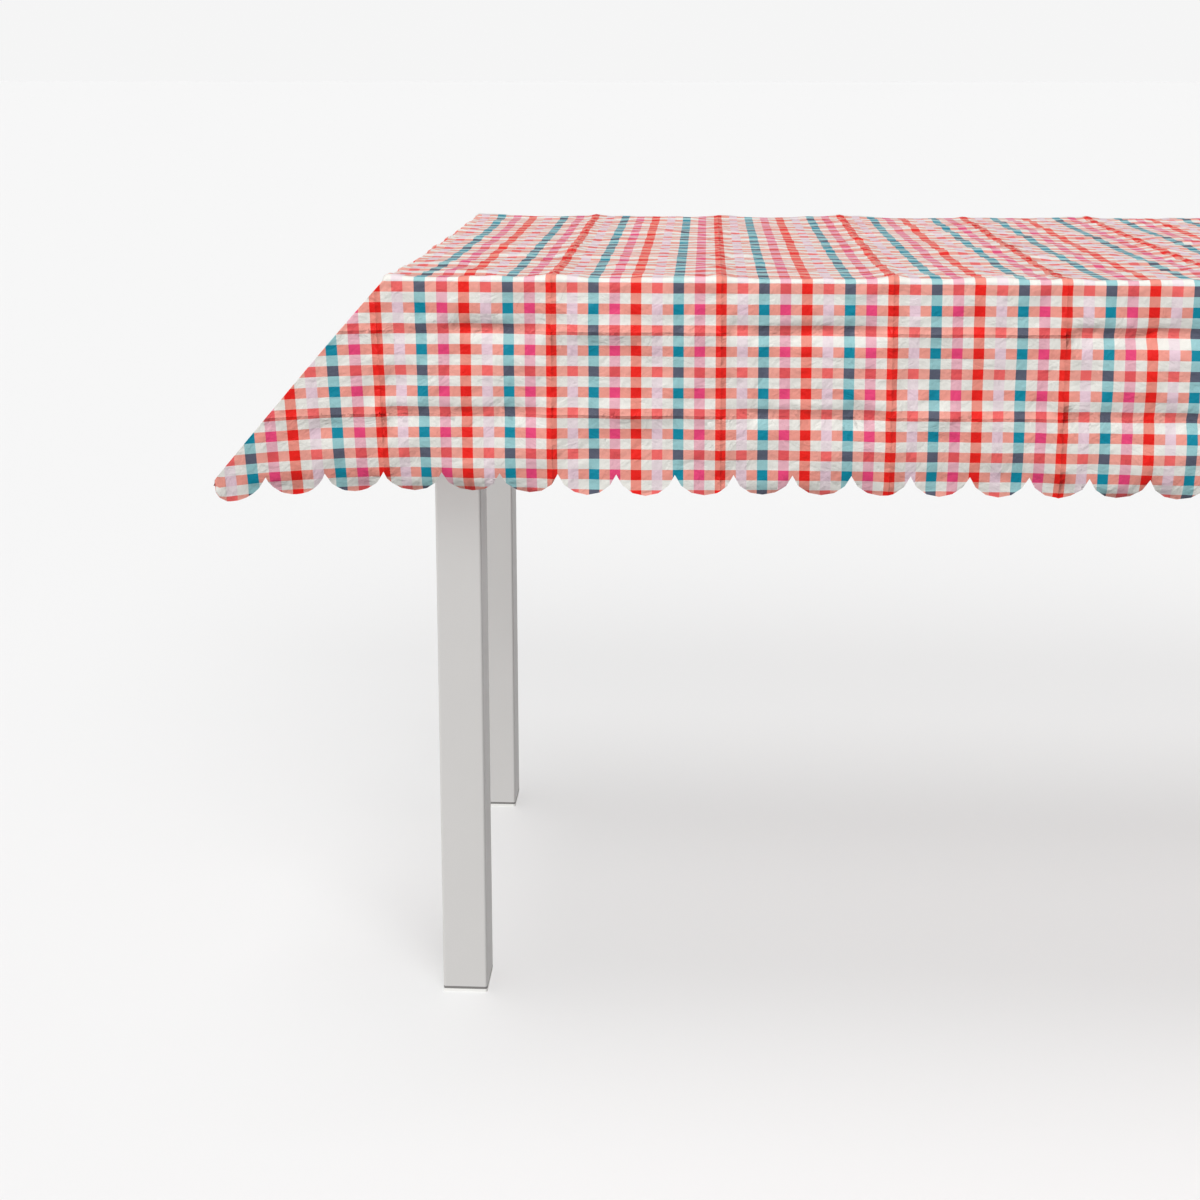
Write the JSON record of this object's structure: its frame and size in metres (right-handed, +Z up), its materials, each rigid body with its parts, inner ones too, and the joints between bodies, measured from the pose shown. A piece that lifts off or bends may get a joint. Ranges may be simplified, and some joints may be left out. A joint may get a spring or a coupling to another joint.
{
  "type": "tablecloth on a table",
  "caption": "Long narrow table on square steel legs, under a draped check-print film tablecloth with a scalloped edge.",
  "frame": {"origin": "on the floor under the middle of the table top", "axes": "+X along the table's length, -Y towards the front long side, +Z up"},
  "size_m": [1.921, 0.6058, 0.7437],
  "materials": {
    "cloth_film": "printed soft film, low gloss, small woven-look check in red, salmon, pink, lilac, teal and white",
    "board_laminate": "white melamine-faced board",
    "edge_band_plastic": "glued edge band",
    "grey_paint": "light grey satin powder coat",
    "cap_plastic": "pale moulded plastic",
    "zinc_steel": "zinc plated"
  },
  "bodies": {
    "table": {"corner_bracket_front_left": "zinc_steel", "corner_bracket_front_right": "zinc_steel", "corner_bracket_rear_left": "zinc_steel", "corner_bracket_rear_right": "zinc_steel", "edge_band": "edge_band_plastic", "foot_cap_front_left": "cap_plastic", "foot_cap_front_right": "cap_plastic", "foot_cap_rear_left": "cap_plastic", "foot_cap_rear_right": "cap_plastic", "leg_bolt_front_left_a": "zinc_steel", "leg_bolt_front_left_b": "zinc_steel", "leg_bolt_front_right_a": "zinc_steel", "leg_bolt_front_right_b": "zinc_steel", "leg_bolt_rear_left_a": "zinc_steel", "leg_bolt_rear_left_b": "zinc_steel", "leg_bolt_rear_right_a": "zinc_steel", "leg_bolt_rear_right_b": "zinc_steel", "leg_front_left": "grey_paint", "leg_front_right": "grey_paint", "leg_rear_left": "grey_paint", "leg_rear_right": "grey_paint", "rail_front": "grey_paint", "rail_left": "grey_paint", "rail_middle": "grey_paint", "rail_rear": "grey_paint", "rail_right": "grey_paint", "rivet_nut_front_left_a": "zinc_steel", "rivet_nut_front_left_b": "zinc_steel", "rivet_nut_front_right_a": "zinc_steel", "rivet_nut_front_right_b": "zinc_steel", "rivet_nut_rear_left_a": "zinc_steel", "rivet_nut_rear_left_b": "zinc_steel", "rivet_nut_rear_right_a": "zinc_steel", "rivet_nut_rear_right_b": "zinc_steel", "table_top": "board_laminate", "top_screw_front_1": "zinc_steel", "top_screw_front_2": "zinc_steel", "top_screw_left_1": "zinc_steel", "top_screw_left_2": "zinc_steel", "top_screw_middle_1": "zinc_steel", "top_screw_middle_2": "zinc_steel", "top_screw_rear_1": "zinc_steel", "top_screw_rear_2": "zinc_steel", "top_screw_right_1": "zinc_steel", "top_screw_right_2": "zinc_steel"},
    "tablecloth": {"tablecloth": "cloth_film"}
  },
  "joints": [
    {"name": "tablecloth_lift", "type": "slide", "parent": "table", "child": "tablecloth", "axis": [0, 0, 1], "range_m": [0, 0.25]}
  ]
}
